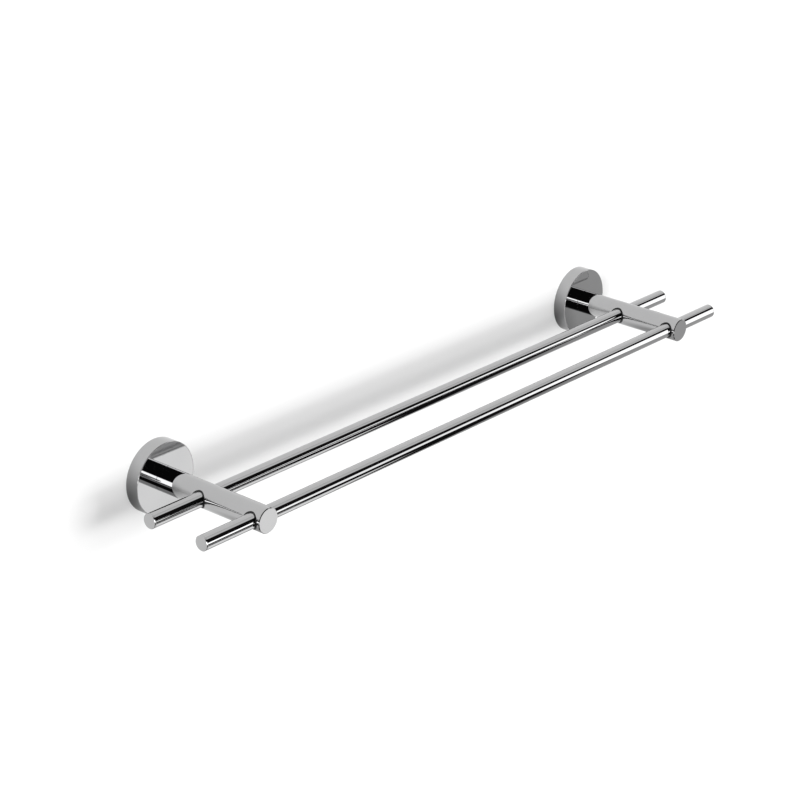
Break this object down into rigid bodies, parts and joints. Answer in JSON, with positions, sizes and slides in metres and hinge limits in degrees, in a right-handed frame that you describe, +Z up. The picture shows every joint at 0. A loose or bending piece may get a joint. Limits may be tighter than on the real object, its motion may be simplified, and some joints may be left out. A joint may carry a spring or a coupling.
{
  "type": "double towel rack",
  "caption": "Wall-mounted double towel rack: two parallel round chrome rails carried by round posts on flat disc rosettes with hidden wall brackets.",
  "frame": {"origin": "on the wall plane, midway between the two rosette centres", "axes": "+X along the rails to the right as seen from the front, +Y into the wall, +Z up; the rack stands out along -Y"},
  "size_m": [0.6, 0.1075, 0.0544],
  "materials": {
    "chrome": "bright polished chrome plate",
    "zinc_plated_steel": "dull zinc plating",
    "stainless_steel": "plain turned stainless steel",
    "black_steel_screw": "black oxide",
    "black_nylon": "matt black moulded nylon"
  },
  "bodies": {
    "root": {"left_wall_bracket": "zinc_plated_steel", "left_rosette": "chrome", "left_rosette_grub_screw": "black_steel_screw", "left_post": "chrome", "left_post_bolt": "stainless_steel", "left_spring_washer": "stainless_steel", "left_dowel_pin": "stainless_steel", "left_rear_rail_grub_screw": "black_steel_screw", "left_rear_rail_sleeve": "black_nylon", "left_rear_rail_end_cap": "chrome", "left_front_rail_grub_screw": "black_steel_screw", "left_front_rail_sleeve": "black_nylon", "left_front_rail_end_cap": "chrome", "right_wall_bracket": "zinc_plated_steel", "right_rosette": "chrome", "right_rosette_grub_screw": "black_steel_screw", "right_post": "chrome", "right_post_bolt": "stainless_steel", "right_spring_washer": "stainless_steel", "right_dowel_pin": "stainless_steel", "right_rear_rail_grub_screw": "black_steel_screw", "right_rear_rail_sleeve": "black_nylon", "right_rear_rail_end_cap": "chrome", "right_front_rail_grub_screw": "black_steel_screw", "right_front_rail_sleeve": "black_nylon", "right_front_rail_end_cap": "chrome", "rear_rail_tube": "chrome", "front_rail_tube": "chrome"}
  },
  "joints": []
}
